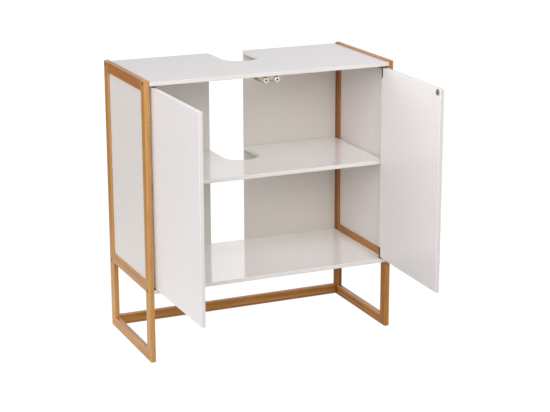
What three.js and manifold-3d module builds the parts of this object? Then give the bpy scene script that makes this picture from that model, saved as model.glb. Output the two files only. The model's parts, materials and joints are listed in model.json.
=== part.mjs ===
// Sink base cabinet: bamboo side frames, white boards, two pivot-hung doors.
// Millimetres, +Z up. X runs across the width, -Y is the front.
// The origin is on the floor, under the middle of the rear stretcher.
import * as THREE from 'three';
import { mergeVertices } from 'three/addons/utils/BufferGeometryUtils.js';
import Module from 'manifold-3d';

const wasm = await Module();
wasm.setup();

// Cabinet
const WIDTH = 600;
const DEPTH = 282;
const HEIGHT = 641;
const BOARD_THICKNESS = 9;
const BOARD_EDGE_RADIUS = 0.8;
const THIN_PANEL = 3;

// Bamboo side frames
const FRAME_THICKNESS = 12;
const POST_DEPTH = 26;
const TOP_RAIL_HEIGHT = 25;
const LOWER_RAIL_HEIGHT = 24;
const FRAME_EDGE_RADIUS = 1.6;
const FRAME_ABOVE_TOP = 3;
const FRAME_BEHIND_BACK = 1.5;
const LEG_ROOM = 161;
const GROOVE_DEPTH = 4;
const GROOVE_END_PLAY = 0.5;
const GROOVE_SIDE_PLAY = 0.1;

// Shelf and waste-pipe cut-out
const SHELF_TOP = 405;
const SHELF_SETBACK = 16;
const SHELF_PLAY = 0.5;
const CUTOUT_WIDTH = 88;
const CUTOUT_DEPTH = 130;

// Doors, hung on pins set in from the hinge edge
const DOOR_SIDE_GAP = 2;
const DOOR_MIDDLE_GAP = 3;
const DOOR_TOP_GAP = 2.4;
const DOOR_BOTTOM_GAP = 2;
const PIN_SET_IN = 6;
const LEFT_DOOR_OPEN = 89.4;
const RIGHT_DOOR_OPEN = 88.5;
const SEAT_GAP = 0.3;

// Pivot hinges
const HINGE_SHEET = 1;
const TOP_BRACKET_LENGTH = 21;
const BOTTOM_BRACKET_LENGTH = 12.5;
const BRACKET_LEG_WIDTH = 6;
const BRACKET_DEPTH = 13;
const BRACKET_HEIGHT = 25;
const BRACKET_SETBACK = 1;
const BRACKET_EDGE = 1.3;
const LEG_SCREW_FROM_END = 6;
const PIN_RADIUS = 2;
const PIN_COLLAR_RADIUS = 3.8;
const PIN_DEPTH_IN_DOOR = 13;
const PIN_SEAT_PLAY = 0.05;
const PIN_RUNNING_PLAY = 0.08;
const PIN_END_PLAY = 0.1;
const DOOR_PLATE_SHEET = 1.2;
const DOOR_PLATE_LENGTH = 18;
const DOOR_PLATE_HEIGHT = 25;
const DOOR_PLATE_RETURN = 6;
const DOOR_PLATE_SETBACK = 1.2;
const PLATE_SCREW_FROM_END = 5;

// Push latch under the top panel
const PLUNGER_SPACING = 27;
const PLUNGER_DROP = 10.5;
const PLUNGER_RADIUS = 6.2;
const PLUNGER_TIP_SETBACK = 6.5;
const PLUNGER_LENGTH = 36;
const PLUNGER_TRAVEL = 6;
const PLUNGER_GUIDE_LENGTH = 12;
const BORE_RADIUS = 7.2;
const BORE_RUNNING_PLAY = 0.08;
const BARREL_RADIUS = 8.4;
const BARREL_LENGTH = 50;
const BARREL_END_WALL = 3;
const MOUTH_SETBACK = 13.5;
const MAGNET_RADIUS = 2.4;
const MAGNET_LENGTH = 6;
const LATCH_WIDTH = 74;
const LATCH_WING = 2.4;
const LATCH_FRONT_WEB = 3;
const LATCH_WEB_SETBACK = 2;
const LATCH_FOOT_CLEAR = 3;
const LATCH_SCREW_EDGE = 2;

// Pieces on the doors
const STRIKE_RADIUS = 7;
const STRIKE_THICKNESS = 1.2;
const BUMPER_RADIUS = 3;
const BUMPER_HEIGHT = 1.5;
const BUMPER_FROM_FREE_EDGE = 17;
const BUMPER_FROM_BOTTOM = 6;

// Fasteners
const SCREW_PLAY = 0.1;
const BOLT = { shank: 2.2, head: 3.8, headHeight: 2.2, length: 38, socket: 1.4 };
const BRACKET_SCREW = { shank: 0.9, head: 1.9, headHeight: 0.9, length: 8, socket: 0.7 };
const PLATE_SCREW = { shank: 0.8, head: 1.6, headHeight: 0.8, length: 6, socket: 0.6 };
const LATCH_SCREW = { shank: 1.2, head: 2.8, headHeight: 1.6, length: 8, socket: 1 };
const STRIKE_SCREW = { shank: 1, head: 2.2, headHeight: 0.9, length: 6, socket: 0.8 };
const HEAD_SINK = 0.15;
const SHELF_PIN_RADIUS = 1.5;
const SHELF_PIN_IN_POST = 7;
const SHELF_PIN_OUT = 7;
const SHELF_PIN_SETBACK = 0.4;

// Sides of the round pieces
const SMALL_ROUND = 16;
const LARGE_ROUND = 32;

// Positions worked out from the sizes above
const REAR = FRAME_THICKNESS / 2;
const FRAME_REAR = REAR + FRAME_BEHIND_BACK;
const FRONT = FRAME_REAR - DEPTH;
const INNER = WIDTH / 2 - FRAME_THICKNESS;
const FRAME_MIDDLE = WIDTH / 2 - FRAME_THICKNESS / 2;
const FRONT_POST_Y = FRONT + POST_DEPTH / 2;
const REAR_POST_Y = FRAME_REAR - POST_DEPTH / 2;
const RAIL_FRONT = FRONT + POST_DEPTH;
const RAIL_REAR = FRAME_REAR - POST_DEPTH;
const BOARD_TOP = HEIGHT - FRAME_ABOVE_TOP;
const TOP_UNDERSIDE = BOARD_TOP - BOARD_THICKNESS;
const TOP_RAIL_UNDERSIDE = HEIGHT - TOP_RAIL_HEIGHT;
const MID_RAIL_TOP = LEG_ROOM + LOWER_RAIL_HEIGHT;
const BOTTOM_TOP = LEG_ROOM + BOARD_THICKNESS;
const BACK_FRONT = REAR - THIN_PANEL;
const HALF_CUTOUT = CUTOUT_WIDTH / 2;
const DOOR_BOTTOM = BOTTOM_TOP + DOOR_BOTTOM_GAP;
const DOOR_TOP = TOP_UNDERSIDE - DOOR_TOP_GAP;
const DOOR_EDGE = INNER - DOOR_SIDE_GAP;
const DOOR_BACK = FRONT + BOARD_THICKNESS;
const PIN_X = DOOR_EDGE - PIN_SET_IN;
const PIN_Y = FRONT + BOARD_THICKNESS / 2;
const PLUNGER_X = PLUNGER_SPACING / 2;
const PLUNGER_Z = TOP_UNDERSIDE - PLUNGER_DROP;
const MOUTH_Y = FRONT + MOUTH_SETBACK;

const BAMBOO = { color: 0xc18e55, roughness: 0.5, metalness: 0 };
const WHITE_BOARD = { color: 0xf1edea, roughness: 0.22, metalness: 0 };
const WHITE_PANEL = { color: 0xe9e4df, roughness: 0.4, metalness: 0 };
const HINGE_METAL = { color: 0x5f564e, roughness: 0.45, metalness: 0.8 };
const BOLT_METAL = { color: 0x5a4030, roughness: 0.4, metalness: 0.7 };
const SCREW_METAL = { color: 0x9a958c, roughness: 0.35, metalness: 0.9 };
const STRIKE_METAL = { color: 0x8f867b, roughness: 0.4, metalness: 0.8 };
const LATCH_PLASTIC = { color: 0xdcd5c4, roughness: 0.45, metalness: 0 };
const PLUNGER_PLASTIC = { color: 0xece7da, roughness: 0.4, metalness: 0 };
const MAGNET_METAL = { color: 0x37322c, roughness: 0.5, metalness: 0.6 };
const BUMPER_PLASTIC = { color: 0xdedcd6, roughness: 0.3, metalness: 0 };

const cabinet = new THREE.Group();
cabinet.name = 'sink_base_cabinet';

// ---- Shape helpers ----

function clean(geometry) {
  const bare = geometry.clone();
  bare.deleteAttribute('normal');
  bare.deleteAttribute('uv');
  return mergeVertices(bare, 1e-5);
}

function toManifold(geometry) {
  const bare = clean(geometry);
  const mesh = new wasm.Mesh({
    numProp: 3,
    vertProperties: new Float32Array(bare.attributes.position.array),
    triVerts: new Uint32Array(bare.index.array),
  });
  return new wasm.Manifold(mesh);
}

function fromManifold(solid) {
  const mesh = solid.getMesh();
  const geometry = new THREE.BufferGeometry();
  const positions = [];
  for (let i = 0; i < mesh.vertProperties.length; i += mesh.numProp) {
    positions.push(mesh.vertProperties[i], mesh.vertProperties[i + 1], mesh.vertProperties[i + 2]);
  }
  geometry.setAttribute('position', new THREE.Float32BufferAttribute(positions, 3));
  geometry.setIndex(Array.from(mesh.triVerts));
  return geometry;
}

function cut(body, ...tools) {
  let solid = toManifold(body);
  for (const tool of tools) {
    solid = solid.subtract(toManifold(tool));
  }
  return fromManifold(solid);
}

function join(...bodies) {
  let solid = toManifold(bodies[0]);
  for (const body of bodies.slice(1)) {
    solid = solid.add(toManifold(body));
  }
  return fromManifold(solid);
}

function box(x0, x1, y0, y1, z0, z1) {
  const geometry = new THREE.BoxGeometry(x1 - x0, y1 - y0, z1 - z0);
  geometry.translate((x0 + x1) / 2, (y0 + y1) / 2, (z0 + z1) / 2);
  return geometry;
}

function mirror(geometry) {
  const flipped = clean(geometry);
  flipped.scale(-1, 1, 1);
  const index = flipped.index.array;
  for (let i = 0; i < index.length; i += 3) {
    const first = index[i];
    index[i] = index[i + 1];
    index[i + 1] = first;
  }
  return flipped;
}

// A rectangle in plan with rounded corners, as a closed outline.
function roundedRectangle(x0, x1, y0, y1, radius) {
  const shape = new THREE.Shape();
  shape.moveTo(x0 + radius, y0);
  shape.lineTo(x1 - radius, y0);
  shape.absarc(x1 - radius, y0 + radius, radius, -Math.PI / 2, 0, false);
  shape.lineTo(x1, y1 - radius);
  shape.absarc(x1 - radius, y1 - radius, radius, 0, Math.PI / 2, false);
  shape.lineTo(x0 + radius, y1);
  shape.absarc(x0 + radius, y1 - radius, radius, Math.PI / 2, Math.PI, false);
  shape.lineTo(x0, y0 + radius);
  shape.absarc(x0 + radius, y0 + radius, radius, Math.PI, Math.PI * 1.5, false);
  return shape;
}

// A plate of the outline, z0 to z1, with its top and bottom edges rounded over.
function plate(shape, z0, z1, ease) {
  const geometry = new THREE.ExtrudeGeometry(shape, {
    depth: z1 - z0 - 2 * ease,
    bevelEnabled: ease > 0,
    bevelThickness: ease,
    bevelSize: ease,
    bevelOffset: -ease,
    bevelSegments: 2,
    curveSegments: 2,
  });
  geometry.translate(0, 0, z0 + ease);
  return geometry;
}

// A board with every edge rounded over. Its corners in plan are a little rounder than its edges.
function easedBoard(x0, x1, y0, y1, z0, z1, ease) {
  return plate(roundedRectangle(x0, x1, y0, y1, ease * 1.3), z0, z1, ease);
}

// A turned piece: profile points are [radius, height], spun about the Z axis.
function turned(profile, segments) {
  const points = profile.map(([radius, height]) => new THREE.Vector2(radius, height));
  const geometry = new THREE.LatheGeometry(points, segments);
  geometry.rotateX(Math.PI / 2);
  return clean(geometry);
}

function rod(radius, z0, z1, segments = SMALL_ROUND) {
  return turned([[0, z0], [radius, z0], [radius, z1], [0, z1]], segments);
}

// Turns a piece made along +Z to point along another direction, then moves it.
function aim(geometry, direction, x, y, z) {
  const turn = new THREE.Quaternion().setFromUnitVectors(new THREE.Vector3(0, 0, 1), direction);
  const aimed = geometry.clone();
  aimed.applyQuaternion(turn);
  aimed.translate(x, y, z);
  return aimed;
}

// These lay a piece made along Z along X or Y: its outline is then in Y and Z, or in Z and X.
const ALONG_X = new THREE.Matrix4().set(0, 0, 1, 0, 1, 0, 0, 0, 0, 1, 0, 0, 0, 0, 0, 1);
const ALONG_Y = new THREE.Matrix4().set(0, 1, 0, 0, 0, 0, 1, 0, 1, 0, 0, 0, 0, 0, 0, 1);

const UP = new THREE.Vector3(0, 0, 1);
const DOWN = new THREE.Vector3(0, 0, -1);
const TO_RIGHT = new THREE.Vector3(1, 0, 0);
const TO_FRONT = new THREE.Vector3(0, -1, 0);
const TO_REAR = new THREE.Vector3(0, 1, 0);

// A countersunk screw with a hexagon socket. Its head is at height zero and faces +Z.
function screw(size) {
  const top = -HEAD_SINK;
  const neck = top - size.headHeight;
  const blank = turned([
    [0, -size.length],
    [size.shank * 0.4, -size.length],
    [size.shank, -size.length + size.shank],
    [size.shank, neck],
    [size.head, top - 0.2],
    [size.head, top],
    [0, top],
  ], SMALL_ROUND);
  const socket = rod(size.socket, top - size.headHeight * 0.6, top + 1, 6);
  return cut(blank, socket);
}

// The hole a screw sits in: countersink and clearance for the shank.
function screwHole(size, through = 0) {
  const neck = -HEAD_SINK - size.headHeight;
  return turned([
    [0, -size.length - SCREW_PLAY * 3],
    [size.shank + SCREW_PLAY, -size.length - SCREW_PLAY * 3],
    [size.shank + SCREW_PLAY, neck - SCREW_PLAY],
    [size.head + SCREW_PLAY, -HEAD_SINK - 0.2 - SCREW_PLAY],
    [size.head + SCREW_PLAY, through + 1],
    [0, through + 1],
  ], SMALL_ROUND);
}

function add(name, geometry, look, parent = cabinet) {
  const finished = clean(geometry);
  finished.computeVertexNormals();
  const mesh = new THREE.Mesh(finished, new THREE.MeshStandardMaterial(look));
  mesh.name = name;
  parent.add(mesh);
  return mesh;
}

// Adds a piece made for the right side and its mirror image on the left.
function addPair(name, geometry, look, parents = { left: cabinet, right: cabinet }) {
  add(`right_${name}`, geometry, look, parents.right);
  add(`left_${name}`, mirror(geometry), look, parents.left);
}

// ---- Side frames: two posts, three rails and a thin white infill panel ----

const grooveHalf = THIN_PANEL / 2 + GROOVE_SIDE_PLAY;
const grooveFront = RAIL_FRONT - GROOVE_DEPTH;
const grooveRear = RAIL_REAR + GROOVE_DEPTH;
const grooveBottom = MID_RAIL_TOP - GROOVE_DEPTH;
const grooveTop = TOP_RAIL_UNDERSIDE + GROOVE_DEPTH;
const panelGroove = box(
  FRAME_MIDDLE - grooveHalf, FRAME_MIDDLE + grooveHalf,
  grooveFront, grooveRear, grooveBottom, grooveTop,
);

const topBoltZ = BOARD_TOP - BOARD_THICKNESS / 2;
const bottomBoltZ = LEG_ROOM + BOARD_THICKNESS / 2;
const boltPlaces = {
  front_top: [FRONT_POST_Y, topBoltZ],
  rear_top: [REAR_POST_Y, topBoltZ],
  front_bottom: [FRONT_POST_Y, bottomBoltZ],
  rear_bottom: [REAR_POST_Y, bottomBoltZ],
};
const boltHoles = {};
for (const [place, [y, z]] of Object.entries(boltPlaces)) {
  boltHoles[place] = aim(screwHole(BOLT), TO_RIGHT, WIDTH / 2, y, z);
}

// The shelf lies on four thin pins: each is a plain rod in a blind hole in its post.
const shelfPinZ = SHELF_TOP - BOARD_THICKNESS - SHELF_PIN_RADIUS;
const shelfPinPlaces = {
  front: FRONT + SHELF_SETBACK + SHELF_PIN_RADIUS + SHELF_PIN_SETBACK,
  rear: REAR_POST_Y,
};

function shelfPin(y, play) {
  const length = SHELF_PIN_IN_POST + SHELF_PIN_OUT + play;
  return aim(rod(SHELF_PIN_RADIUS + play, 0, length), TO_RIGHT, INNER - SHELF_PIN_OUT, y, shelfPinZ);
}

function post(y) {
  const half = POST_DEPTH / 2;
  return easedBoard(INNER, WIDTH / 2, y - half, y + half, 0, HEIGHT, FRAME_EDGE_RADIUS);
}

// A rail between the posts: its long edges are rounded, its ends are square.
function rail(z0, z1) {
  const outline = roundedRectangle(z0, z1, INNER, WIDTH / 2, FRAME_EDGE_RADIUS);
  const geometry = plate(outline, RAIL_FRONT, RAIL_REAR, 0);
  geometry.applyMatrix4(ALONG_Y);
  return geometry;
}

// ---- Boards ----

// Plan of a board with the waste-pipe cut-out: straight sides, round front end, open at the rear.
function cutoutBoardShape(x, front, rear) {
  const centre = REAR - CUTOUT_DEPTH + HALF_CUTOUT;
  const shape = new THREE.Shape();
  shape.moveTo(-x, front);
  shape.lineTo(x, front);
  shape.lineTo(x, rear);
  shape.lineTo(HALF_CUTOUT, rear);
  shape.lineTo(HALF_CUTOUT, centre);
  shape.absarc(0, centre, HALF_CUTOUT, 0, -Math.PI, true);
  shape.lineTo(-HALF_CUTOUT, rear);
  shape.lineTo(-x, rear);
  return shape;
}

function cutoutBoard(x, front, rear, z0, z1) {
  const shape = cutoutBoardShape(x, front, rear);
  const ease = BOARD_EDGE_RADIUS;
  const geometry = new THREE.ExtrudeGeometry(shape, {
    depth: z1 - z0 - 2 * ease,
    bevelThickness: ease,
    bevelSize: ease,
    bevelOffset: -ease,
    bevelSegments: 2,
    curveSegments: 20,
  });
  geometry.translate(0, 0, z0 + ease);
  return geometry;
}

const latchScrewX = LATCH_WIDTH / 2 - LATCH_SCREW.head - LATCH_SCREW_EDGE;
const latchScrewY = MOUTH_Y + BARREL_LENGTH / 2;
const latchUnderside = TOP_UNDERSIDE - LATCH_WING;
const latchScrewHoles = [-latchScrewX, latchScrewX].map((x) => (
  aim(screwHole(LATCH_SCREW), DOWN, x, latchScrewY, latchUnderside)
));

// ---- Hinge brackets and pins ----

const legScrewY = FRONT + BRACKET_SETBACK + BRACKET_DEPTH - BRACKET_SCREW.head - BRACKET_EDGE;
const legScrewDrop = BRACKET_HEIGHT - LEG_SCREW_FROM_END;

// One hinge corner on the right side. level is the board face it sits on, away points to the door.
// Only the long top bracket has a screw into its board, the short bottom one hangs on its leg.
function hingeCorner(level, away, length) {
  const front = FRONT + BRACKET_SETBACK;
  const rear = front + BRACKET_DEPTH;
  const plateFace = level + away * HINGE_SHEET;
  const legEnd = level + away * BRACKET_HEIGHT;
  const zs = (a, b) => [Math.min(a, b), Math.max(a, b)];
  const flat = box(INNER - length, INNER, front, rear, ...zs(level, plateFace));
  const leg = box(INNER - HINGE_SHEET, INNER, rear - BRACKET_LEG_WIDTH, rear, ...zs(level, legEnd));
  const direction = away > 0 ? UP : DOWN;
  const inward = new THREE.Vector3(-1, 0, 0);
  const pinHole = aim(
    rod(PIN_RADIUS + PIN_SEAT_PLAY, -1, HINGE_SHEET + 1), direction, PIN_X, PIN_Y, level,
  );
  const flatScrewX = INNER - length + BRACKET_SCREW.head + BRACKET_EDGE;
  const flatHoles = length > BOTTOM_BRACKET_LENGTH
    ? [aim(screwHole(BRACKET_SCREW), direction, flatScrewX, PIN_Y, plateFace)] : [];
  const legScrewZ = level + away * legScrewDrop;
  const legFace = INNER - HINGE_SHEET;
  const legHole = aim(screwHole(BRACKET_SCREW), inward, legFace, legScrewY, legScrewZ);
  const bracket = cut(join(flat, leg), pinHole, legHole, ...flatHoles);

  const gap = away > 0 ? DOOR_BOTTOM_GAP : DOOR_TOP_GAP;
  const tip = gap + PIN_DEPTH_IN_DOOR;
  const pin = aim(turned([
    [0, 0.2],
    [PIN_RADIUS, 0.2],
    [PIN_RADIUS, HINGE_SHEET],
    [PIN_COLLAR_RADIUS, HINGE_SHEET],
    [PIN_COLLAR_RADIUS, gap - PIN_END_PLAY],
    [PIN_RADIUS, gap - PIN_END_PLAY],
    [PIN_RADIUS, tip - 0.6],
    [PIN_RADIUS - 0.6, tip],
    [0, tip],
  ], SMALL_ROUND), direction, PIN_X, PIN_Y, level);

  return { bracket, pin, boardHoles: flatHoles, postHole: legHole };
}

const topHinge = hingeCorner(TOP_UNDERSIDE, -1, TOP_BRACKET_LENGTH);
const bottomHinge = hingeCorner(BOTTOM_TOP, 1, BOTTOM_BRACKET_LENGTH);

// ---- Build the frames ----

const frontPost = cut(
  post(FRONT_POST_Y), panelGroove, boltHoles.front_top, boltHoles.front_bottom,
  shelfPin(shelfPinPlaces.front, SCREW_PLAY), topHinge.postHole, bottomHinge.postHole,
);
const rearPost = cut(
  post(REAR_POST_Y), panelGroove, boltHoles.rear_top, boltHoles.rear_bottom,
  shelfPin(shelfPinPlaces.rear, SCREW_PLAY),
);
const sidePanel = box(
  FRAME_MIDDLE - THIN_PANEL / 2, FRAME_MIDDLE + THIN_PANEL / 2,
  grooveFront + GROOVE_END_PLAY, grooveRear - GROOVE_END_PLAY,
  grooveBottom + GROOVE_END_PLAY, grooveTop - GROOVE_END_PLAY,
);
addPair('front_post', frontPost, BAMBOO);
addPair('rear_post', rearPost, BAMBOO);
addPair('top_rail', cut(rail(TOP_RAIL_UNDERSIDE, HEIGHT), panelGroove), BAMBOO);
addPair('mid_rail', cut(rail(LEG_ROOM, MID_RAIL_TOP), panelGroove), BAMBOO);
addPair('bottom_rail', rail(0, LOWER_RAIL_HEIGHT), BAMBOO);
addPair('side_panel', sidePanel, WHITE_PANEL);
for (const [place, [y, z]] of Object.entries(boltPlaces)) {
  addPair(`${place}_bolt`, aim(screw(BOLT), TO_RIGHT, WIDTH / 2, y, z), BOLT_METAL);
}

// The stretcher ties the two rear posts together at floor level.
const stretcherOutline = roundedRectangle(
  REAR - FRAME_THICKNESS, REAR, 0, LOWER_RAIL_HEIGHT, FRAME_EDGE_RADIUS,
);
const stretcher = plate(stretcherOutline, -INNER, INNER, 0);
stretcher.applyMatrix4(ALONG_X);
add('rear_stretcher', stretcher, BAMBOO);

// ---- Build the boards ----

const bothSides = (geometries) => geometries.concat(geometries.map(mirror));
const topPanel = cut(
  cutoutBoard(INNER, FRONT, REAR, TOP_UNDERSIDE, BOARD_TOP),
  ...bothSides([boltHoles.front_top, boltHoles.rear_top, ...topHinge.boardHoles]),
  ...latchScrewHoles,
);
add('top_panel', topPanel, WHITE_BOARD);

const shelfX = INNER - SHELF_PLAY;
const shelf = cutoutBoard(
  shelfX, FRONT + SHELF_SETBACK, BACK_FRONT - SHELF_PLAY, SHELF_TOP - BOARD_THICKNESS, SHELF_TOP,
);
add('shelf', shelf, WHITE_BOARD);
addPair('front_shelf_pin', shelfPin(shelfPinPlaces.front, 0), SCREW_METAL);
addPair('rear_shelf_pin', shelfPin(shelfPinPlaces.rear, 0), SCREW_METAL);

const bottomPanel = cut(
  easedBoard(-INNER, INNER, FRONT, REAR, LEG_ROOM, BOTTOM_TOP, BOARD_EDGE_RADIUS),
  ...bothSides([boltHoles.front_bottom, boltHoles.rear_bottom]),
);
add('bottom_panel', bottomPanel, WHITE_BOARD);

// The two back panels leave a full-height slot for the pipes between them.
const backPanel = box(HALF_CUTOUT, INNER, BACK_FRONT, REAR, BOTTOM_TOP, TOP_UNDERSIDE);
addPair('back_panel', backPanel, WHITE_PANEL);

// ---- Build the hinges' cabinet side ----

addPair('top_pivot_bracket', topHinge.bracket, HINGE_METAL);
addPair('bottom_pivot_bracket', bottomHinge.bracket, HINGE_METAL);
addPair('top_pivot_pin', topHinge.pin, SCREW_METAL);
addPair('bottom_pivot_pin', bottomHinge.pin, SCREW_METAL);

// ---- Double push latch: a housing with two barrels, a plunger in each ----

// Front view of the housing: a thin wing each side sloping down to the barrels.
function latchProfile(wingFoot) {
  const half = LATCH_WIDTH / 2;
  const shoulder = PLUNGER_X + BARREL_RADIUS;
  const shape = new THREE.Shape();
  shape.moveTo(-half, TOP_UNDERSIDE);
  shape.lineTo(-half, latchUnderside);
  shape.lineTo(-wingFoot, latchUnderside);
  shape.lineTo(-shoulder + 1, PLUNGER_Z);
  shape.lineTo(shoulder - 1, PLUNGER_Z);
  shape.lineTo(wingFoot, latchUnderside);
  shape.lineTo(half, latchUnderside);
  shape.lineTo(half, TOP_UNDERSIDE);
  return shape;
}

function latchSection(wingFoot, length) {
  const section = new THREE.ExtrudeGeometry(latchProfile(wingFoot), { depth: length, bevelEnabled: false });
  section.rotateX(Math.PI / 2);
  section.translate(0, MOUTH_Y + length, 0);
  return section;
}

const latchFront = latchSection(LATCH_WIDTH / 2 - LATCH_WEB_SETBACK, LATCH_FRONT_WEB);
const latchBody = latchSection(LATCH_WIDTH / 2 - 2 * LATCH_SCREW.head - LATCH_FOOT_CLEAR, BARREL_LENGTH);
const barrel = turned([
  [0, 0],
  [BARREL_RADIUS - 0.5, 0],
  [BARREL_RADIUS, 0.5],
  [BARREL_RADIUS, BARREL_LENGTH - 1],
  [BARREL_RADIUS - 1, BARREL_LENGTH],
  [0, BARREL_LENGTH],
], LARGE_ROUND);
const bore = rod(BORE_RADIUS, -1, BARREL_LENGTH - BARREL_END_WALL, LARGE_ROUND);
const barrels = [-PLUNGER_X, PLUNGER_X].map((x) => aim(barrel, TO_REAR, x, MOUTH_Y, PLUNGER_Z));
const bores = [-PLUNGER_X, PLUNGER_X].map((x) => aim(bore, TO_REAR, x, MOUTH_Y, PLUNGER_Z));
const housing = join(latchBody, latchFront, ...barrels);
add('latch_housing', cut(housing, ...bores, ...latchScrewHoles), LATCH_PLASTIC);
addPair(
  'latch_screw', aim(screw(LATCH_SCREW), DOWN, latchScrewX, latchScrewY, latchUnderside), SCREW_METAL,
);

// A plunger: slim nose, wider guide at the back, a magnet let into the tip.
const guideRadius = BORE_RADIUS - BORE_RUNNING_PLAY;
const guideStart = PLUNGER_LENGTH - PLUNGER_GUIDE_LENGTH;
const magnetSeat = MAGNET_RADIUS + PIN_SEAT_PLAY;
const plunger = turned([
  [0, MAGNET_LENGTH + SCREW_PLAY],
  [magnetSeat, MAGNET_LENGTH + SCREW_PLAY],
  [magnetSeat, 0.2],
  [PLUNGER_RADIUS - 2, 0],
  [PLUNGER_RADIUS - 0.6, 0.3],
  [PLUNGER_RADIUS, 1],
  [PLUNGER_RADIUS, guideStart],
  [guideRadius, guideStart],
  [guideRadius, PLUNGER_LENGTH],
  [0, PLUNGER_LENGTH],
], LARGE_ROUND);
const magnet = rod(MAGNET_RADIUS, 0.4, MAGNET_LENGTH);
const tipY = FRONT + PLUNGER_TIP_SETBACK;
addPair('plunger', aim(plunger, TO_REAR, PLUNGER_X, tipY, PLUNGER_Z), PLUNGER_PLASTIC);
addPair('plunger_magnet', aim(magnet, TO_REAR, PLUNGER_X, tipY, PLUNGER_Z), MAGNET_METAL);

// ---- Doors ----

// The let-in hinge plate at one end of the right door's hinge edge. grow widens it into its recess.
function doorPlate(end, away, grow) {
  const sheet = DOOR_PLATE_SHEET + grow;
  const front = FRONT + DOOR_PLATE_SETBACK - grow;
  const edge = DOOR_EDGE + grow;
  const back = DOOR_BACK + grow;
  const far = end + away * (DOOR_PLATE_HEIGHT + grow);
  const zs = (a, b) => [Math.min(a, b), Math.max(a, b)];
  const outer = end - away * grow;
  const cap = box(
    DOOR_EDGE - DOOR_PLATE_LENGTH - grow, edge, front, back,
    ...zs(outer, end + away * sheet),
  );
  const edgeLeg = box(DOOR_EDGE - sheet, edge, front, back, ...zs(outer, far));
  const innerLeg = box(
    DOOR_EDGE - DOOR_PLATE_RETURN - grow, edge, DOOR_BACK - sheet, back,
    ...zs(outer, far),
  );
  return join(cap, edgeLeg, innerLeg);
}

const plateScrewX = DOOR_EDGE - DOOR_PLATE_RETURN / 2 - 0.3;
function doorHinge(end, away) {
  const direction = away > 0 ? UP : DOWN;
  const screwZ = end + away * (DOOR_PLATE_HEIGHT - PLATE_SCREW_FROM_END);
  const runningHole = aim(
    rod(PIN_RADIUS + PIN_RUNNING_PLAY, -1, PIN_DEPTH_IN_DOOR), direction, PIN_X, PIN_Y, end,
  );
  const bored = aim(
    rod(PIN_RADIUS + SEAT_GAP, -1, PIN_DEPTH_IN_DOOR + 1), direction, PIN_X, PIN_Y, end,
  );
  const screwCut = aim(screwHole(PLATE_SCREW), TO_REAR, plateScrewX, DOOR_BACK, screwZ);
  return {
    plate: cut(doorPlate(end, away, 0), runningHole, screwCut),
    recess: doorPlate(end, away, SEAT_GAP),
    bored,
    screwCut,
  };
}

const topPlate = doorHinge(DOOR_TOP, -1);
const bottomPlate = doorHinge(DOOR_BOTTOM, 1);
const strikeFace = DOOR_BACK + SEAT_GAP + STRIKE_THICKNESS;
const strikeHole = aim(screwHole(STRIKE_SCREW), TO_REAR, PLUNGER_X, strikeFace, PLUNGER_Z);
const strikeScrew = aim(screw(STRIKE_SCREW), TO_REAR, PLUNGER_X, strikeFace, PLUNGER_Z);
const strike = cut(aim(turned([
  [0, 0],
  [STRIKE_RADIUS, 0],
  [STRIKE_RADIUS, STRIKE_THICKNESS - 0.4],
  [STRIKE_RADIUS - 0.4, STRIKE_THICKNESS],
  [0, STRIKE_THICKNESS],
], LARGE_ROUND), TO_REAR, PLUNGER_X, DOOR_BACK + SEAT_GAP, PLUNGER_Z), strikeHole);

const bumperX = DOOR_MIDDLE_GAP / 2 + BUMPER_FROM_FREE_EDGE;
const bumper = aim(turned([
  [0, 0],
  [BUMPER_RADIUS, 0],
  [BUMPER_RADIUS, BUMPER_HEIGHT * 0.4],
  [BUMPER_RADIUS * 0.8, BUMPER_HEIGHT * 0.8],
  [BUMPER_RADIUS * 0.4, BUMPER_HEIGHT],
  [0, BUMPER_HEIGHT],
], SMALL_ROUND), TO_REAR, bumperX, DOOR_BACK + SEAT_GAP, DOOR_BOTTOM + BUMPER_FROM_BOTTOM);

const door = cut(
  easedBoard(
    DOOR_MIDDLE_GAP / 2, DOOR_EDGE, FRONT, DOOR_BACK, DOOR_BOTTOM, DOOR_TOP, BOARD_EDGE_RADIUS,
  ),
  topPlate.recess, topPlate.bored, topPlate.screwCut,
  bottomPlate.recess, bottomPlate.bored, bottomPlate.screwCut,
  strikeHole,
);

// Each door turns on its own pins, so its pieces are placed about the pin line.
function doorGroup(name, pinX, degrees) {
  const hung = new THREE.Group();
  hung.name = name;
  hung.position.set(pinX, PIN_Y, 0);
  hung.rotation.z = THREE.MathUtils.degToRad(degrees);
  cabinet.add(hung);
  return hung;
}

const doors = {
  left: doorGroup('left_door_turn', -PIN_X, -LEFT_DOOR_OPEN),
  right: doorGroup('right_door_turn', PIN_X, RIGHT_DOOR_OPEN),
};

function addDoorPair(name, geometry, look) {
  const fromPin = clean(geometry);
  fromPin.translate(-PIN_X, -PIN_Y, 0);
  addPair(name, fromPin, look, doors);
}

addDoorPair('door', door, WHITE_BOARD);
addDoorPair('top_door_plate', topPlate.plate, HINGE_METAL);
addDoorPair('bottom_door_plate', bottomPlate.plate, HINGE_METAL);
addDoorPair('strike_disc', strike, STRIKE_METAL);
addDoorPair('strike_screw', strikeScrew, SCREW_METAL);
addDoorPair('bumper', bumper, BUMPER_PLASTIC);

export default cabinet;
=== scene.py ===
import json
import math

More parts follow.
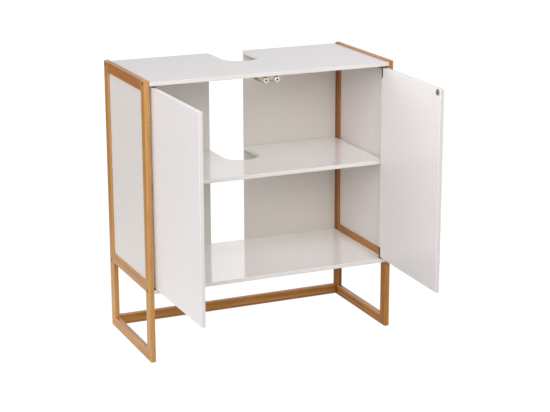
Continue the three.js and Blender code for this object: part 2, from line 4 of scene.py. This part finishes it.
import bpy
from mathutils import Matrix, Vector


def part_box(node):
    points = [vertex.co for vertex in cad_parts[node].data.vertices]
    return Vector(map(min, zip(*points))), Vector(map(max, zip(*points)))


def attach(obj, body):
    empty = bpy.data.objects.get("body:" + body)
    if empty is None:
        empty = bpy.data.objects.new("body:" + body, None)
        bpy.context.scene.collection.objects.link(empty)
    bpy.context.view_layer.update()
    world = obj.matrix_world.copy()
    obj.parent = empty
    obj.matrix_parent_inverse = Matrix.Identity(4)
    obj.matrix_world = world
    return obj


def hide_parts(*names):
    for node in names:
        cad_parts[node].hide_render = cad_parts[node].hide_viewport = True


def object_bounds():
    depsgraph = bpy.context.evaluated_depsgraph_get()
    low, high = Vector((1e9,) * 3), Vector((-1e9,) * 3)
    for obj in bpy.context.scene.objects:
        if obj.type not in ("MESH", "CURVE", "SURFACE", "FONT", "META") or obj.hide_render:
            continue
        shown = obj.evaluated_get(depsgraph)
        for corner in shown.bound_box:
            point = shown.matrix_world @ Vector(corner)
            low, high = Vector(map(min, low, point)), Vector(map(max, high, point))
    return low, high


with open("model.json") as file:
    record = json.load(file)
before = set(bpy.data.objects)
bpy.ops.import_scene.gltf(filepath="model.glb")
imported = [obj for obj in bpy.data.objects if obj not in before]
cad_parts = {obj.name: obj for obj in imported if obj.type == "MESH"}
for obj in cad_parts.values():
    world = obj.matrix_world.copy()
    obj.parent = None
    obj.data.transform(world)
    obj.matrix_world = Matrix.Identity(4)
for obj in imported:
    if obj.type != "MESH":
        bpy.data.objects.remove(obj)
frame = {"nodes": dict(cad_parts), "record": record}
cad_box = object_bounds()
nodes = frame["nodes"]


# Side frames. Two posts and three rails each side, and a stretcher low at the rear, of
# bamboo laminated from narrow strips, sanded round on the edges and lacquered. The strips
# run the length of each piece, with a darker knuckle wherever the cane had one.

def new_finish(name):
    finish = bpy.data.materials.new(name)
    finish.use_nodes = True
    return finish, finish.node_tree, finish.node_tree.nodes["Principled BSDF"]


def place(tree, kind, settings=None, **inputs):
    """Adds a node. An input is named as Blender names it, or i0, i1, i2 by its number."""
    made = tree.nodes.new(kind)
    for key, value in (settings or {}).items():
        setattr(made, key, value)
    for key, value in inputs.items():
        numbered = key[0] == "i" and key[1:].isdigit()
        socket = made.inputs[int(key[1:]) if numbered else key.replace("_", " ")]
        if isinstance(value, bpy.types.NodeSocket):
            tree.links.new(value, socket)
        else:
            socket.default_value = value
    return made


def reckon(tree, operation, first, second=0.0, third=0.0):
    made = place(tree, "ShaderNodeMath", {"operation": operation}, i0=first, i1=second, i2=third)
    return made.outputs[0]


def fade(tree, value, start, end, low=0.0, high=1.0):
    """Goes smoothly from low to high while value goes from start to end."""
    step = place(tree, "ShaderNodeMapRange", {"interpolation_type": "SMOOTHSTEP"}, Value=value)
    step.inputs["From Min"].default_value = start
    step.inputs["From Max"].default_value = end
    step.inputs["To Min"].default_value = low
    step.inputs["To Max"].default_value = high
    return step.outputs[0]


def two_tones(tree, fac, first, second, start=0.0, end=1.0):
    mixed = place(tree, "ShaderNodeValToRGB", Fac=fac)
    for stop, at, colour in zip(mixed.color_ramp.elements, (start, end), (first, second)):
        stop.position = at
        stop.color = (*colour, 1)
    return mixed


def bamboo(name, run, node, seed, tone_and_shade, redness):
    """Strips are counted from the piece's own corner, so that they end at its edges."""
    strip_width = 0.006
    layers = 3
    finish, tree, shader = new_finish(name)
    seat = place(tree, "ShaderNodeTexCoord")
    axes = place(tree, "ShaderNodeSeparateXYZ", Vector=seat.outputs["Object"]).outputs
    facing = place(tree, "ShaderNodeSeparateXYZ", Vector=seat.outputs["Normal"]).outputs
    low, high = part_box(node)
    crossways = (axis for axis in (0, 1, 2) if "XYZ"[axis] != run)
    broad, slim = sorted(crossways, key=lambda axis: low[axis] - high[axis])
    along, across_way, deep_way = axes[run], axes["XYZ"[broad]], axes["XYZ"[slim]]
    strips = round((high[broad] - low[broad]) / strip_width)

    def counted(axis, number):
        pitch = (high[axis] - low[axis]) / number
        return reckon(tree, "MULTIPLY_ADD", axes["XYZ"[axis]], 1 / pitch, -low[axis] / pitch)

    across = counted(broad, strips)
    deep = counted(slim, layers)
    strip = place(
        tree, "ShaderNodeCombineXYZ",
        X=reckon(tree, "FLOOR", across), Y=reckon(tree, "FLOOR", deep), Z=seed,
    ).outputs[0]
    chance = place(tree, "ShaderNodeTexWhiteNoise", {"noise_dimensions": "3D"}, Vector=strip)
    pick = place(tree, "ShaderNodeSeparateColor", Color=chance.outputs["Color"]).outputs

    # a knuckle every 27 cm of cane, somewhere else on each strip
    cane_joint = 0.27
    spot = reckon(tree, "FRACT", reckon(tree, "MULTIPLY_ADD", along, 1 / cane_joint, pick[1]))
    off_middle = reckon(tree, "ABSOLUTE", reckon(tree, "SUBTRACT", spot, 0.5))
    from_knuckle = reckon(tree, "MULTIPLY", off_middle, cane_joint)
    ring = fade(tree, from_knuckle, 0.0006, 0.0018, 1.0, 0.0)
    halo = fade(tree, from_knuckle, 0.002, 0.01, 1.0, 0.0)

    # hair-thin glue lines between the strips
    def from_seam(count):
        part = reckon(tree, "FRACT", count)
        return reckon(tree, "MINIMUM", part, reckon(tree, "SUBTRACT", 1.0, part))

    nearest_seam = reckon(tree, "MINIMUM", from_seam(across), from_seam(deep))
    seam = fade(tree, nearest_seam, 0.004, 0.03, 1.0, 0.0)

    # fibre, darker streaks and clouds, all drawn out along the strip
    shifted = reckon(tree, "MULTIPLY_ADD", pick[2], 3.0, along)

    def drawn_out(lengthways, crosswise, detail):
        vector = place(
            tree, "ShaderNodeCombineXYZ",
            X=reckon(tree, "MULTIPLY", shifted, lengthways),
            Y=reckon(tree, "MULTIPLY", across_way, crosswise),
            Z=reckon(tree, "MULTIPLY", deep_way, crosswise),
        ).outputs[0]
        noise = place(
            tree, "ShaderNodeTexNoise",
            Vector=vector, Scale=1.0, Detail=detail, Roughness=0.6,
        )
        return noise.outputs[0]

    fibre = drawn_out(lengthways=16, crosswise=2300, detail=2.0)
    streak = drawn_out(lengthways=4, crosswise=420, detail=3.0)
    cloud = drawn_out(lengthways=9, crosswise=40, detail=3.0)

    # every mark lightens or darkens the strip, by its strength, about its own mean
    marks = (
        (fibre, 0.28, 0.5),
        (streak, 0.36, 0.5),
        (cloud, 0.54, 0.5),
        (halo, 0.07, 0.0),
        (ring, -0.24, 0.0),
        (seam, -0.12, 0.0),
    )
    between_strips = 0.2
    # each piece's tone moves all its strips lighter or darker; on the right frame this darkening is
    # painted shade
    shade = reckon(tree, "MULTIPLY_ADD", pick[0], between_strips, 0.4 + tone_and_shade)
    for mark, strength, mean in marks:
        part = reckon(tree, "MULTIPLY_ADD", mark, strength, -strength * mean)
        shade = reckon(tree, "ADD", shade, part)

    # sawn across, the strips show the dark dots of their fibre bundles
    on_end = fade(tree, reckon(tree, "ABSOLUTE", facing[run]), 0.6, 0.8)
    end_plan = place(tree, "ShaderNodeCombineXYZ", X=across_way, Y=deep_way).outputs[0]
    bundles = place(
        tree, "ShaderNodeTexVoronoi", {"feature": "F1"}, Vector=end_plan, Scale=1900.0,
    ).outputs["Distance"]
    dots = fade(tree, bundles, 0.25, 0.45, 0.4, 0.0)
    shade = reckon(tree, "SUBTRACT", shade, reckon(tree, "MULTIPLY", dots, on_end))

    def cane(red, green, blue):
        """The redder the piece, the less of its green and blue is left."""
        return red, green * (1 - 0.5 * redness), blue * (1 - redness)

    colour = two_tones(tree, shade, cane(0.26, 0.09, 0.014), cane(0.8, 0.48, 0.19))
    middle = colour.color_ramp.elements.new(0.45)
    middle.color = (*cane(0.52, 0.262, 0.077), 1)
    tree.links.new(colour.outputs[0], shader.inputs["Base Color"])
    tree.links.new(reckon(tree, "MULTIPLY_ADD", fibre, 0.16, 0.34), shader.inputs["Roughness"])
    grain = reckon(tree, "MULTIPLY_ADD", reckon(tree, "MAXIMUM", ring, seam), -0.7, fibre)
    relief = place(tree, "ShaderNodeBump", Strength=0.12, Distance=0.0002, Height=grain)
    tree.links.new(relief.outputs[0], shader.inputs["Normal"])
    shader.inputs["Specular IOR Level"].default_value = 0.1
    shader.inputs["Coat Weight"].default_value = 0.45
    shader.inputs["Coat Roughness"].default_value = 0.15
    return finish


def fit(node, finish, rim=0.0, body="carcass"):
    """The CAD piece with its sharp edges taken off by rim and its round ones made smooth."""
    same_place = 1e-6
    flat_enough = math.radians(0.3)
    sharp = math.radians(60)
    round_below = math.radians(50)
    piece = bpy.data.objects.new(node + "_finished", nodes[node].data.copy())
    bpy.context.collection.objects.link(piece)
    bpy.ops.object.select_all(action="DESELECT")
    piece.select_set(True)
    bpy.context.view_layer.objects.active = piece
    bpy.ops.object.mode_set(mode="EDIT")
    bpy.ops.mesh.select_all(action="SELECT")
    bpy.ops.mesh.remove_doubles(threshold=same_place)
    bpy.ops.mesh.dissolve_limited(angle_limit=flat_enough)
    bpy.ops.object.mode_set(mode="OBJECT")
    if rim:
        soften = piece.modifiers.new("rim", "BEVEL")
        soften.width = rim
        soften.segments = 2
        soften.limit_method = "ANGLE"
        soften.angle_limit = sharp
        bpy.ops.object.modifier_apply(modifier=soften.name)
    bpy.ops.object.shade_smooth_by_angle(angle=round_below)
    even = piece.modifiers.new("even", "WEIGHTED_NORMAL")
    even.keep_sharp = True
    bpy.ops.object.modifier_apply(modifier=even.name)
    piece.data.materials.clear()
    piece.data.materials.append(finish)
    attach(piece, body)
    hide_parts(node)


# no two pieces of cane are the same brown: the way each runs, how light it is, how red; the right
# frame's pieces are set darker still, painted shade for the shade they stand in on the cabinet's
# far side
bamboo_pieces = {
    "left_front_post": ("Z", 0.04, 0.0),
    "left_rear_post": ("Z", 0.02, 0.0),
    "left_top_rail": ("Y", -0.05, 0.4),
    "left_mid_rail": ("Y", -0.02, 0.1),
    "left_bottom_rail": ("Y", -0.04, 0.1),
    "right_front_post": ("Z", -0.13, 0.15),
    "right_rear_post": ("Z", -0.32, 0.15),
    "right_top_rail": ("Y", -0.08, 0.2),
    "right_mid_rail": ("Y", -0.14, 0.3),
    "right_bottom_rail": ("Y", -0.14, 0.2),
    "rear_stretcher": ("X", -0.1, 0.1),
}
first_seed = 3
sawn_end_rim = 0.0003
for seed, (wood, (run, tone_and_shade, redness)) in enumerate(bamboo_pieces.items(), start=first_seed):
    finish = bamboo(f"bamboo_{wood}", run, wood, float(seed), tone_and_shade, redness)
    # the posts come rounded at their ends too, the others are sawn off square
    fit(wood, finish, rim=0.0 if run == "Z" else sawn_end_rim)


# Side panels. One thin white board is let into the upper field of each side frame, in a
# groove all round. Its paint is satin, with the fine tooth of a rolled coat.

def white_paint(name, white, front_rear_shade, rough, tooth, coat=0.0):
    """White all over, but a darker colour, painted shade, on what faces the front or the rear while
    the doors stand open.
    """
    finish, tree, shader = new_finish(name)
    seat = place(tree, "ShaderNodeTexCoord")
    spot = seat.outputs["Object"]
    drift = place(tree, "ShaderNodeTexNoise", Vector=spot, Scale=5.0, Detail=2.0).outputs[0]
    skin = place(tree, "ShaderNodeTexNoise", Vector=spot, Scale=420.0, Detail=1.0).outputs[0]
    shaded = tuple(part * 0.99 for part in white)
    tint = two_tones(tree, drift, shaded, white, 0.3, 0.7)
    facing = place(tree, "ShaderNodeSeparateXYZ", Vector=seat.outputs["Normal"]).outputs
    # faces that look to the front or the rear take the second, darker colour: painted shade
    front_rear_shade_mask = fade(tree, reckon(tree, "ABSOLUTE", facing[1]), 0.5, 0.95)
    paint = place(
        tree, "ShaderNodeMix", {"data_type": "RGBA"},
        i0=front_rear_shade_mask, i6=tint.outputs[0], i7=(*front_rear_shade, 1),
    )
    tree.links.new(paint.outputs[2], shader.inputs["Base Color"])
    patchy = 0.02
    uneven = reckon(tree, "MULTIPLY_ADD", skin, patchy, rough - patchy / 2)
    tree.links.new(uneven, shader.inputs["Roughness"])
    relief = place(tree, "ShaderNodeBump", Strength=tooth, Distance=0.0001, Height=skin)
    tree.links.new(relief.outputs[0], shader.inputs["Normal"])
    shader.inputs["Coat Weight"].default_value = coat
    shader.inputs["Coat Roughness"].default_value = 0.05
    return finish


satin = (0.77, 0.719, 0.692)
panel_white = white_paint("white_satin_panel", satin, satin, rough=0.42, tooth=0.05)
for side in ("left", "right"):
    fit(f"{side}_side_panel", panel_white)


# Top, shelf and bottom. Fibreboard, 9 mm, lacquered white and polished, so that the
# shelf and the bottom mirror what stands on them. The top and the shelf have a U-shaped
# cut-out for the pipes, sawn from the rear edge.

# the second white of each, on faces that look to the front or the rear, is painted shade
top_white_painted_shade = white_paint(
    "white_top_painted_shade", (0.83, 0.793, 0.79), (0.69, 0.653, 0.643),
    rough=0.14, tooth=0.02, coat=0.25,
)
board_white_painted_light_and_shade = white_paint(
    "white_shelf_and_bottom_painted_light_and_shade", (0.985, 0.955, 0.945), (0.74, 0.705, 0.69),
    rough=0.14, tooth=0.02, coat=0.45,
)
# one lacquer, but the top is given a darker white and the shelf and bottom a brighter one: painted
# shade on the top, painted light on the shelf and bottom
fit("top_panel", top_white_painted_shade)
for board in ("shelf", "bottom_panel"):
    fit(board, board_white_painted_light_and_shade)


# Back. Two thin boards of the same satin paint, set darker and greyer as painted shade for the
# shade inside the cabinet. They are fixed behind the shelf and the bottom, with a slot left between
# them for the pipes.

painted_shade_grey = (0.66, 0.625, 0.571)
back_white_painted_shade = white_paint("white_back_panel_painted_shade", painted_shade_grey, painted_shade_grey, rough=0.45, tooth=0.05)
for side in ("left", "right"):
    fit(f"{side}_back_panel", back_white_painted_shade, rim=0.0003)


# Doors. Plain boards lacquered all round like the top, without a handle, because the
# latch pushes them open.

# the doors' second white, on their faces that look to the front or the rear, is painted shade
door_white_with_painted_shade = white_paint(
    "white_door_with_painted_shade", (0.87, 0.829, 0.824), (0.64, 0.611, 0.6),
    rough=0.27, tooth=0.01, coat=0.1,
)
for side in ("left", "right"):
    fit(f"{side}_door", door_white_with_painted_shade, body=f"{side}_door")


# Pivot hinges, one at each corner. A bent steel bracket is screwed to the post and, at
# the top, to the top board too; its zinc pin turns in a plate let into the door's corner.
# Brackets, plates and the small countersunk screws are plated dark bronze.

def plated(name, colour, rough, metallic=1.0):
    finish, tree, shader = new_finish(name)
    seat = place(tree, "ShaderNodeTexCoord").outputs["Object"]
    cloud = place(tree, "ShaderNodeTexNoise", Vector=seat, Scale=260.0, Detail=3.0).outputs[0]
    tint = two_tones(tree, cloud, tuple(part * 0.75 for part in colour), colour, 0.25, 0.75)
    tree.links.new(tint.outputs[0], shader.inputs["Base Color"])
    patchy = 0.2
    uneven = reckon(tree, "MULTIPLY_ADD", cloud, patchy, rough - patchy / 2)
    tree.links.new(uneven, shader.inputs["Roughness"])
    shader.inputs["Metallic"].default_value = metallic
    return finish


hinge_bronze = plated("hinge_bronze", (0.1, 0.07, 0.05), rough=0.5, metallic=0.6)
zinc = plated("zinc_plate", (0.5, 0.48, 0.45), rough=0.35)
pressed_rim = 0.0002
for side in ("left", "right"):
    for level in ("top", "bottom"):
        fit(f"{side}_{level}_pivot_bracket", hinge_bronze, rim=pressed_rim)
        fit(f"{side}_{level}_door_plate", hinge_bronze, rim=pressed_rim, body=f"{side}_door")
        fit(f"{side}_{level}_pivot_pin", zinc)


def pick_faces(piece, wanted):
    """In edit mode, selects the faces that wanted says yes to, and nothing else."""
    bpy.ops.mesh.select_mode(type="FACE")
    bpy.ops.mesh.select_all(action="DESELECT")
    bpy.ops.object.mode_set(mode="OBJECT")
    for face in piece.data.polygons:
        face.select = wanted(face)
    bpy.ops.object.mode_set(mode="EDIT")


def pull_out(shift, taper=None):
    """Extrudes the picked faces by shift, then makes them taper times as wide."""
    bpy.ops.mesh.extrude_region_move(TRANSFORM_OT_translate={"value": shift})
    if taper is not None:
        bpy.ops.transform.resize(value=(taper, taper, 1), center_override=(0, 0, 0))


def make_screw(name, head, neck, shank, length, cross):
    """A countersunk screw, looking up, with its head's face at height zero.

    Head and shank are radii, neck is the head's depth, and a cube of size cross is the
    start of the bit that cuts the recess.
    """
    lip = 0.0002
    bpy.ops.object.select_all(action="DESELECT")
    bpy.ops.mesh.primitive_cylinder_add(
        vertices=24, radius=head, depth=lip, location=(0, 0, -lip / 2),
    )
    blank = bpy.context.object
    blank.name = name
    bpy.ops.object.transform_apply(location=True, rotation=True, scale=True)
    bpy.ops.object.mode_set(mode="EDIT")
    pick_faces(blank, lambda face: face.normal.z < -0.9)
    pull_out((0, 0, lip - neck), taper=shank / head)
    pull_out((0, 0, neck + shank - length), taper=1.0)
    pull_out((0, 0, -shank), taper=0.3)
    bpy.ops.object.mode_set(mode="OBJECT")

    # the bit: a thin upright core with four arms, narrower at its lower end
    core_width, core_height, arm_length, lower_end = 0.3, 1.2, 0.8, 0.55
    bpy.ops.object.select_all(action="DESELECT")
    bpy.ops.mesh.primitive_cube_add(size=cross, location=(0, 0, 0))
    bit = bpy.context.object
    bpy.ops.object.mode_set(mode="EDIT")
    bpy.ops.transform.resize(value=(core_width, core_width, core_height), center_override=(0, 0, 0))
    for way in (0, 1):
        for sign in (-1, 1):
            def is_core_side(face):
                outward = face.normal[way] * sign > 0.9
                return outward and abs(face.center[1 - way]) < cross * 0.1

            pick_faces(bit, is_core_side)
            arm = [0, 0, 0]
            arm[way] = sign * cross * arm_length
            pull_out(arm)
    pick_faces(bit, lambda face: face.normal.z < -0.9)
    bpy.ops.transform.resize(value=(lower_end, lower_end, 1), center_override=(0, 0, 0))
    bpy.ops.object.mode_set(mode="OBJECT")

    bpy.ops.object.select_all(action="DESELECT")
    blank.select_set(True)
    bpy.context.view_layer.objects.active = blank
    punch = blank.modifiers.new("recess", "BOOLEAN")
    punch.operation = "DIFFERENCE"
    punch.object = bit
    bpy.ops.object.modifier_apply(modifier=punch.name)
    bpy.data.objects.remove(bit)
    soften = blank.modifiers.new("rim", "BEVEL")
    soften.width = 0.00006
    soften.limit_method = "ANGLE"
    soften.angle_limit = math.radians(50)
    bpy.ops.object.modifier_apply(modifier=soften.name)
    bpy.ops.object.shade_smooth_by_angle(angle=math.radians(40))
    blank.data.materials.append(hinge_bronze)
    return blank


def drive_in(pattern, name, seat, body):
    """A copy of the screw, with its own mesh, where seat takes it."""
    driven = bpy.data.objects.new(name, pattern.data.copy())
    bpy.context.collection.objects.link(driven)
    driven.data.transform(seat)
    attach(driven, body)


bracket_screw = make_screw(
    "bracket_screw", head=0.0019, neck=0.0009, shank=0.0009, length=0.008, cross=0.0019,
)
plate_screw = make_screw(
    "plate_screw", head=0.0016, neck=0.0008, shank=0.0008, length=0.006, cross=0.0016,
)
head_sunk = 0.00015
sunk = Matrix.Translation((0, 0, -head_sunk))
looking_down = Matrix.Rotation(math.pi, 4, "X")
looking_back = Matrix.Rotation(-math.pi / 2, 4, "X")
joints = frame["record"]["behaviour"]["joints"]
hinge_of = {joint["child"]: joint["pos_m"] for joint in joints if joint["type"] == "hinge"}
foot_hole_x, foot_underside = 0.2702, 0.628
leg_face_x, leg_hole_y = 0.287, -0.2637
plate_hole_x, plate_face_y = 0.2827, -0.2655
leg_hole_z = {"top": 0.610, "bottom": 0.189}
plate_hole_z = {"top": 0.6066, "bottom": 0.192}
# the doors' angles in the picture, from shut
stands_open = {"left": math.radians(-89.4), "right": math.radians(88.5)}
for side, sign in (("left", -1), ("right", 1)):
    looking_in = Matrix.Rotation(-sign * math.pi / 2, 4, "Y")
    hinge_x, hinge_y, _ = hinge_of[f"{side}_door"]
    foot_seat = Matrix.Translation((sign * foot_hole_x, hinge_y, foot_underside))
    drive_in(bracket_screw, f"{side}_top_bracket_screw", foot_seat @ looking_down @ sunk, "carcass")
    hinge_line = Matrix.Translation((hinge_x, hinge_y, 0))
    swing = hinge_line @ Matrix.Rotation(stands_open[side], 4, "Z") @ hinge_line.inverted()
    for level in ("top", "bottom"):
        leg_seat = Matrix.Translation((sign * leg_face_x, leg_hole_y, leg_hole_z[level]))
        plate_seat = Matrix.Translation((sign * plate_hole_x, plate_face_y, plate_hole_z[level]))
        drive_in(
            bracket_screw, f"{side}_{level}_leg_screw",
            leg_seat @ looking_in @ sunk, "carcass",
        )
        drive_in(
            plate_screw, f"{side}_{level}_plate_screw",
            swing @ plate_seat @ looking_back @ sunk, f"{side}_door",
        )
for pattern in (bracket_screw, plate_screw):
    bpy.data.objects.remove(pattern)


# Push latch. A cream plastic housing with two barrels, screwed up under the top board.
# In each barrel a plunger slides on a spring, with a dark magnet pressed into its tip.

def moulded(name, colour, rough):
    finish, tree, shader = new_finish(name)
    seat = place(tree, "ShaderNodeTexCoord").outputs["Object"]
    cloud = place(tree, "ShaderNodeTexNoise", Vector=seat, Scale=90.0, Detail=2.0).outputs[0]
    deeper = (colour[0] * 0.94, colour[1] * 0.93, colour[2] * 0.9)
    tint = two_tones(tree, cloud, deeper, colour)
    tree.links.new(tint.outputs[0], shader.inputs["Base Color"])
    patchy = 0.1
    uneven = reckon(tree, "MULTIPLY_ADD", cloud, patchy, rough - patchy / 2)
    tree.links.new(uneven, shader.inputs["Roughness"])
    shader.inputs["Subsurface Weight"].default_value = 0.1
    shader.inputs["Subsurface Scale"].default_value = 0.002
    return finish


housing_cream = moulded("cream_housing", (0.6, 0.56, 0.45), rough=0.45)
fit("latch_housing", housing_cream, rim=0.0003)
plunger_white = moulded("plunger_white", (0.74, 0.71, 0.62), rough=0.35)
magnet_dark = plated("magnet_dark", (0.05, 0.045, 0.04), rough=0.5, metallic=0.4)
for side in ("left", "right"):
    fit(f"{side}_latch_screw", zinc)
    fit(f"{side}_plunger", plunger_white, body=f"{side}_plunger")
    fit(f"{side}_plunger_magnet", magnet_dark, body=f"{side}_plunger")


# Strikes and bumpers, inside each door's free edge: a steel disc for the magnet, held by
# one countersunk screw near the top, and a pale plastic dome stuck on near the foot.

strike_steel = plated("strike_steel", (0.46, 0.42, 0.38), rough=0.4)
bumper_pale = moulded("bumper_pale", (0.72, 0.71, 0.68), rough=0.25)
for side in ("left", "right"):
    fit(f"{side}_strike_disc", strike_steel, body=f"{side}_door")
    fit(f"{side}_strike_screw", zinc, body=f"{side}_door")
    fit(f"{side}_bumper", bumper_pale, body=f"{side}_door")


# Frame bolts and shelf pins. Brown socket bolts go through the posts into the boards'
# ends, sunk in the outer faces; the shelf lies on four plain steel pins.

bolt_brown = plated("brown_bolt", (0.075, 0.03, 0.014), rough=0.55, metallic=0.25)
for side in ("left", "right"):
    for row in ("front", "rear"):
        for level in ("top", "bottom"):
            fit(f"{side}_{row}_{level}_bolt", bolt_brown)
        fit(f"{side}_{row}_shelf_pin", zinc)


# The studio. A wide pale floor that glows a little close to the left side, walls that are
# brightest on the left, a dim ceiling, a soft lamp high at the front left and a wide fill
# lamp lower in front. The camera stands about where the picture was taken from.

bpy.context.scene.view_settings.view_transform = "Standard"
# to the camera the floor and the walls are one white, whatever light they give
seen_white = 0.96

bpy.ops.object.select_all(action="DESELECT")
floor_size, floor_y, floor_z = 40, 6, -0.0006
bpy.ops.mesh.primitive_plane_add(size=floor_size, location=(0, floor_y, floor_z))
floor = bpy.context.object
floor.name = "studio_floor"
pale, pale_tree, pale_shader = new_finish("studio_floor")
pale_shader.inputs["Base Color"].default_value = (0.12, 0.12, 0.12, 1)
pale_shader.inputs["Roughness"].default_value = 0.9
pale_shader.inputs["Emission Color"].default_value = (1, 1, 1, 1)

# the floor's light: a strip beside the left frame, and a dim rest that dies away at the rear
spot = place(pale_tree, "ShaderNodeTexCoord").outputs["Object"]
spread = place(pale_tree, "ShaderNodeSeparateXYZ", Vector=spot).outputs
cabinet_left = cad_box[0][0]
from_frame = reckon(pale_tree, "SUBTRACT", cabinet_left, spread[0])
past_frame = fade(pale_tree, from_frame, -0.06, 0.04)
thins_out = fade(pale_tree, from_frame, 0.06, 0.32, 1.0, 0.0)
near_left = reckon(pale_tree, "MULTIPLY", past_frame, thins_out)
behind_front = fade(pale_tree, spread[1], -0.35 - floor_y, -0.15 - floor_y)
near_left = reckon(pale_tree, "MULTIPLY", near_left, behind_front)
from_rear = fade(pale_tree, spread[1], 0.5 - floor_y, 1.4 - floor_y, 0.24, 0.05)
pool = reckon(pale_tree, "MULTIPLY_ADD", near_left, 0.6, from_rear)
seen = place(pale_tree, "ShaderNodeLightPath").outputs["Is Camera Ray"]
glow = place(pale_tree, "ShaderNodeMix", {"data_type": "FLOAT"}, i0=seen, i2=pool, i3=seen_white)
pale_tree.links.new(glow.outputs[0], pale_shader.inputs["Emission Strength"])
floor.data.materials.append(pale)

studio = bpy.data.worlds.new("studio_walls")
studio.use_nodes = True
walls = studio.node_tree
look = place(walls, "ShaderNodeTexCoord").outputs["Generated"]
way = place(walls, "ShaderNodeSeparateXYZ", Vector=look).outputs
to_front = fade(walls, way[1], -0.1, -0.95)
to_left = fade(walls, way[0], -0.1, -0.95)
to_back = fade(walls, way[1], 0.35, 0.8)
to_right = fade(walls, way[0], 0.1, 0.95)
brightness = 0.3
for wall, strength in ((to_front, 0.4), (to_left, 1.65), (to_back, 0.3), (to_right, 0.7)):
    brightness = reckon(walls, "MULTIPLY_ADD", wall, strength, brightness)
above = fade(walls, way[2], 0.3, 0.85)
below_ceiling = reckon(walls, "SUBTRACT", 1.0, above)
brightness = reckon(walls, "MULTIPLY", brightness, below_ceiling)
brightness = reckon(walls, "MULTIPLY_ADD", above, 0.1, brightness)

# a band of light low on the rear wall, for the top's polish to mirror
rises = fade(walls, way[2], 0.2, 0.33)
falls = fade(walls, way[2], 0.45, 0.7, 1.0, 0.0)
panel_light = reckon(walls, "MULTIPLY", rises, falls)
panel_light = reckon(walls, "MULTIPLY", panel_light, to_back)
brightness = reckon(walls, "MULTIPLY_ADD", panel_light, 0.8, brightness)
seen = place(walls, "ShaderNodeLightPath").outputs["Is Camera Ray"]
glow = place(walls, "ShaderNodeMix", {"data_type": "FLOAT"}, i0=seen, i2=brightness, i3=seen_white)
walls.links.new(glow.outputs[0], walls.nodes["Background"].inputs[1])
walls.nodes["Background"].inputs[0].default_value = (1, 1, 1, 1)
bpy.context.scene.world = studio


def soft_light(name, stands_at, aims_at, size, power):
    lamp = bpy.data.lights.new(name, "AREA")
    lamp.shape = "RECTANGLE"
    lamp.size, lamp.size_y = size
    lamp.energy = power
    holder = bpy.data.objects.new(name, lamp)
    bpy.context.collection.objects.link(holder)
    holder.location = stands_at
    x, y, z = (aims_at[axis] - stands_at[axis] for axis in range(3))
    holder.rotation_euler = (math.atan2(math.hypot(x, y), -z), 0, math.atan2(-x, y))
    return holder


soft_light("key", (-0.8, -2.05, 1.95), aims_at=(0, -0.1, 0.35), size=(1.6, 1.6), power=31)
fill = soft_light("fill", (-0.4, -3.1, 1.15), aims_at=(0, 0, 0.35), size=(3.4, 1.5), power=25)
fill.visible_glossy = False

picture_width = 550
focal_length_in_pixels = 1576.1
camera_data = bpy.data.cameras.new("photo_camera")
camera_data.sensor_width = 36
camera_data.lens = focal_length_in_pixels / picture_width * camera_data.sensor_width
camera_data.clip_end = 100
camera = bpy.data.objects.new("photo_camera", camera_data)
bpy.context.collection.objects.link(camera)
camera.location = (-1.37143, -3.41526, 1.29122)
camera.rotation_euler = [math.radians(turn) for turn in (74.34827, 0.15276, -23.69045)]
bpy.context.scene.camera = camera
